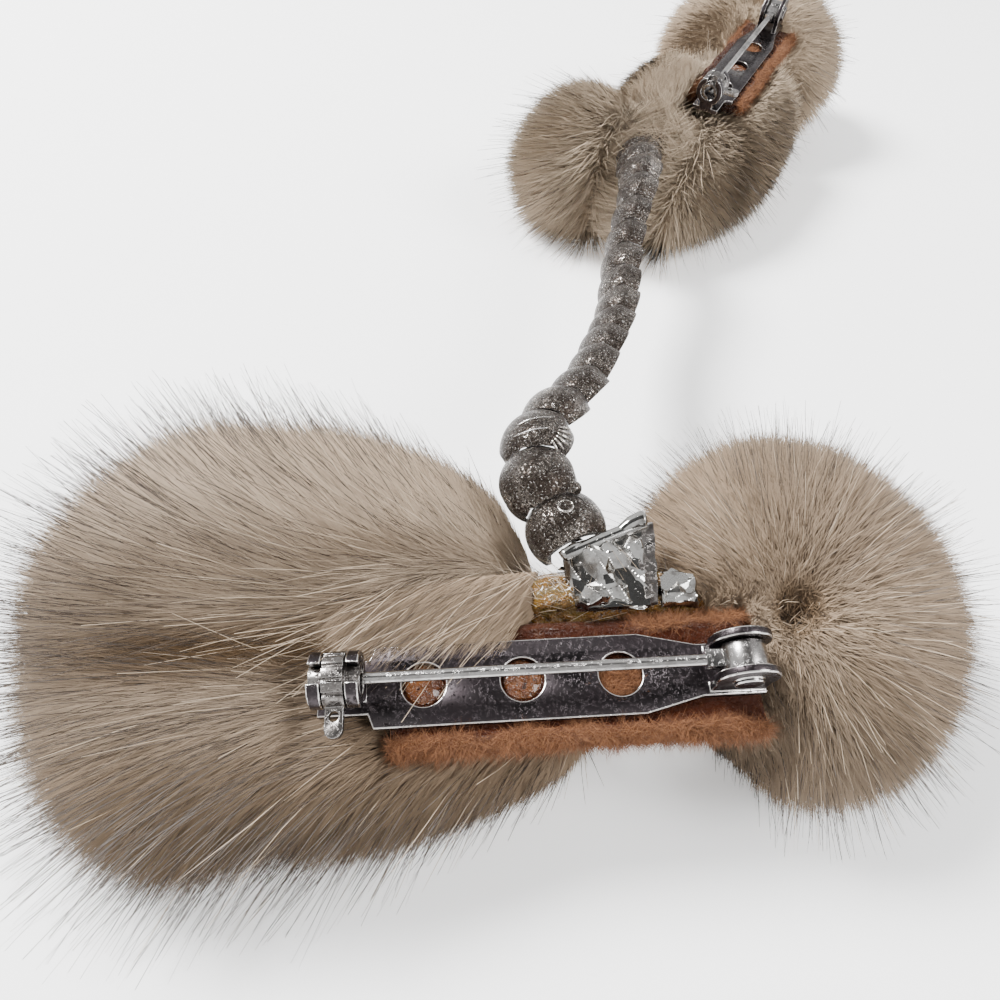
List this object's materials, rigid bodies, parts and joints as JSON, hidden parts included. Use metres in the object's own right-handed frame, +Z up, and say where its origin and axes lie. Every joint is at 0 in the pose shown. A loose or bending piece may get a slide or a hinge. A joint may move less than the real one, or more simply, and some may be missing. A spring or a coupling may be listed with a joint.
{
  "type": "sweater guard",
  "caption": "Sweater guard: two fur brooches with bar pins and safety catches, joined by a chain of domed metal links, lying with the pins up.",
  "frame": {"origin": "on the table under the middle of the whole guard", "axes": "+Z up from the table, +X to the right of the picture, +Y from the near brooch to the far one"},
  "size_m": [0.106, 0.1542, 0.0263],
  "materials": {
    "mink_fur": "soft",
    "orange_felt": "matt",
    "tarnished_steel": "satin",
    "bright_steel": "polished",
    "amber_glue": "glossy",
    "bright_silver": "polished",
    "dark_silver": "oxidised"
  },
  "bodies": {
    "guard": {"near_fur_lobes": "mink_fur", "near_fur_ball": "mink_fur", "near_felt": "orange_felt", "near_pin_bar": "tarnished_steel", "near_glue": "amber_glue", "near_chain_tab": "bright_silver", "near_tab_chip": "bright_silver", "far_fur_lobes": "mink_fur", "far_fur_ball": "mink_fur", "far_felt": "orange_felt", "far_pin_bar": "tarnished_steel", "far_glue": "amber_glue", "far_chain_tab": "bright_silver", "link_01": "dark_silver", "link_02": "dark_silver", "link_03": "dark_silver", "link_04": "dark_silver", "link_05": "dark_silver", "link_06": "dark_silver", "link_07": "dark_silver", "link_08": "dark_silver", "link_09": "dark_silver", "link_10": "dark_silver", "link_11": "dark_silver", "link_12": "dark_silver", "link_13": "dark_silver", "link_14": "dark_silver", "link_15": "dark_silver", "link_16": "dark_silver", "link_17": "dark_silver", "link_18": "dark_silver", "link_19": "dark_silver"},
    "near_stem": {"near_pin_stem": "bright_steel"},
    "near_lock": {"near_catch_lock": "bright_steel"},
    "far_stem": {"far_pin_stem": "bright_steel"},
    "far_lock": {"far_catch_lock": "bright_steel"}
  },
  "joints": [
    {"name": "near_stem_hinge", "type": "hinge", "parent": "guard", "child": "near_stem", "pos_m": [0.00789, -0.06534, 0.01885], "axis": [-0.0582, 0.9799, 0.1908], "range_deg": [0, 100]},
    {"name": "near_lock_turn", "type": "hinge", "parent": "guard", "child": "near_lock", "pos_m": [-0.01996, -0.06699, 0.01885], "axis": [-0.9982, -0.0593, 0], "range_deg": [0, 140]},
    {"name": "far_stem_hinge", "type": "hinge", "parent": "guard", "child": "far_stem", "pos_m": [0.03625, 0.0505, 0.02316], "axis": [-0.8665, 0.4915, 0.0868], "range_deg": [0, 100]},
    {"name": "far_lock_turn", "type": "hinge", "parent": "guard", "child": "far_lock", "pos_m": [0.02235, 0.02643, 0.02073], "axis": [-0.4981, -0.8627, -0.0872], "range_deg": [0, 140]}
  ]
}
